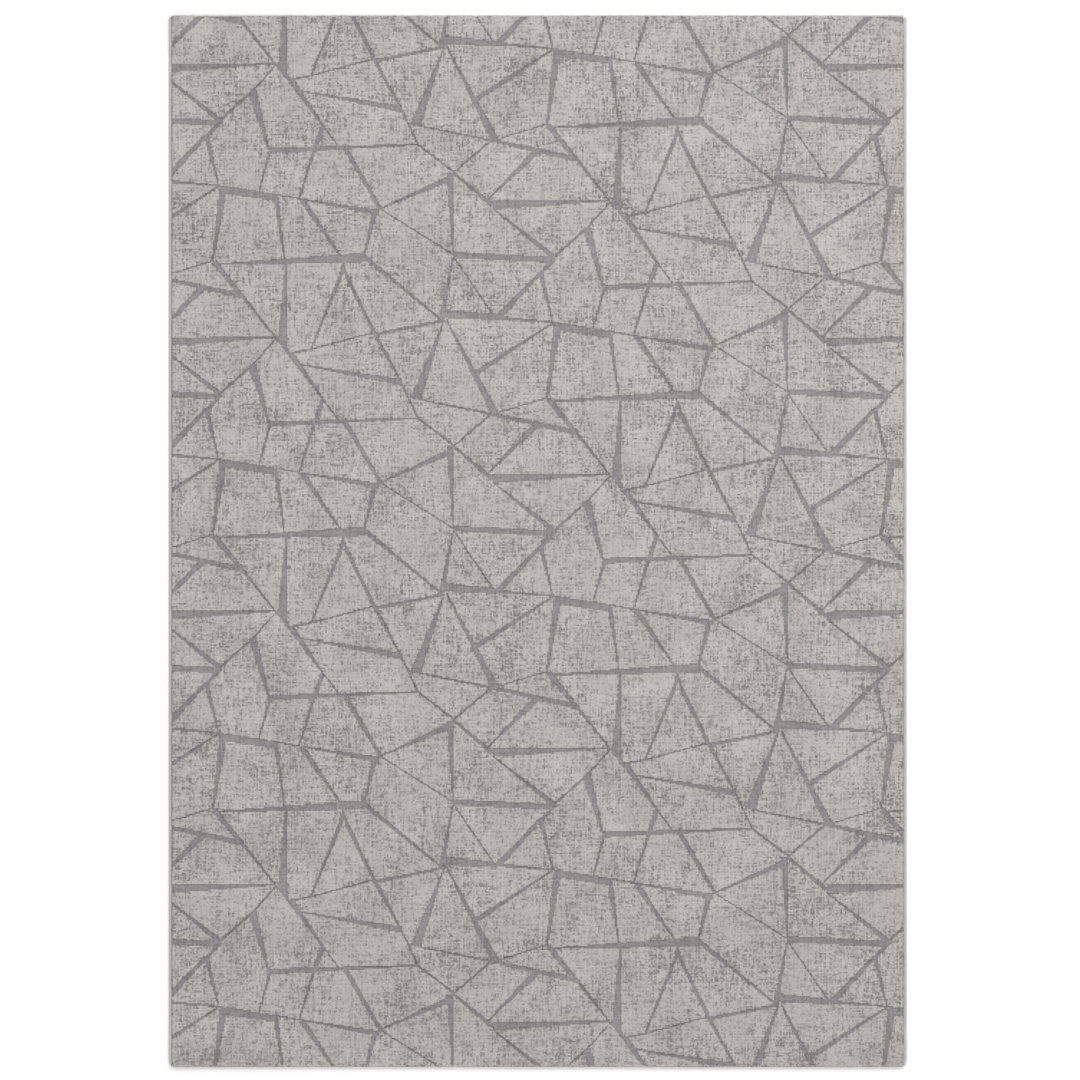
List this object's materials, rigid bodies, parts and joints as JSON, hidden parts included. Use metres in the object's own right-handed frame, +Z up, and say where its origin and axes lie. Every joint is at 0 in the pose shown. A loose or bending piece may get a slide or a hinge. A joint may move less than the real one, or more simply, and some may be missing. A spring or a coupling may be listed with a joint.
{
  "type": "area rug",
  "caption": "Flat rectangular machine-woven area rug in light grey melange cut pile with a sunken network of darker tapered lines, serged long sides and folded, taped ends.",
  "frame": {"origin": "centre of the rug's rectangle, on the floor plane that its back lies on", "axes": "+Z up out of the pile, +Y along the length to the head end, +X along the width"},
  "size_m": [1.608, 2.29, 0.0149],
  "materials": {
    "field_pile_yarn": "cut pile, heat-set melange yarn in light grey, matt with a faint lustre on the tuft tips",
    "line_pile_yarn": "cut pile, darker grey heat-set yarn, matt",
    "serging_yarn": "overlock yarn, light grey, satin",
    "weft_yarn": "jute weft, brown, matt and hairy",
    "warp_yarn": "spun polyester warp, off-white",
    "latex": "thin latex coat, slightly glossy",
    "cord": "twisted cotton cord, off-white",
    "hot_melt": "hot-melt adhesive, amber and glossy",
    "twill_tape": "woven twill tape, warm grey",
    "label_cloth": "blank satin label, white"
  },
  "bodies": {
    "root": {"field_pile": "field_pile_yarn", "line_pile": "line_pile_yarn", "upper_weft": "weft_yarn", "stuffer_warp": "warp_yarn", "lower_weft": "weft_yarn", "latex_backcoat": "latex", "right_overlock": "serging_yarn", "left_overlock": "serging_yarn", "right_selvedge_cord": "cord", "left_selvedge_cord": "cord", "head_right_corner_tack": "serging_yarn", "head_left_corner_tack": "serging_yarn", "foot_right_corner_tack": "serging_yarn", "foot_left_corner_tack": "serging_yarn", "head_hem_adhesive": "hot_melt", "foot_hem_adhesive": "hot_melt", "head_hem_tape": "twill_tape", "foot_hem_tape": "twill_tape", "care_label": "label_cloth"}
  },
  "joints": []
}
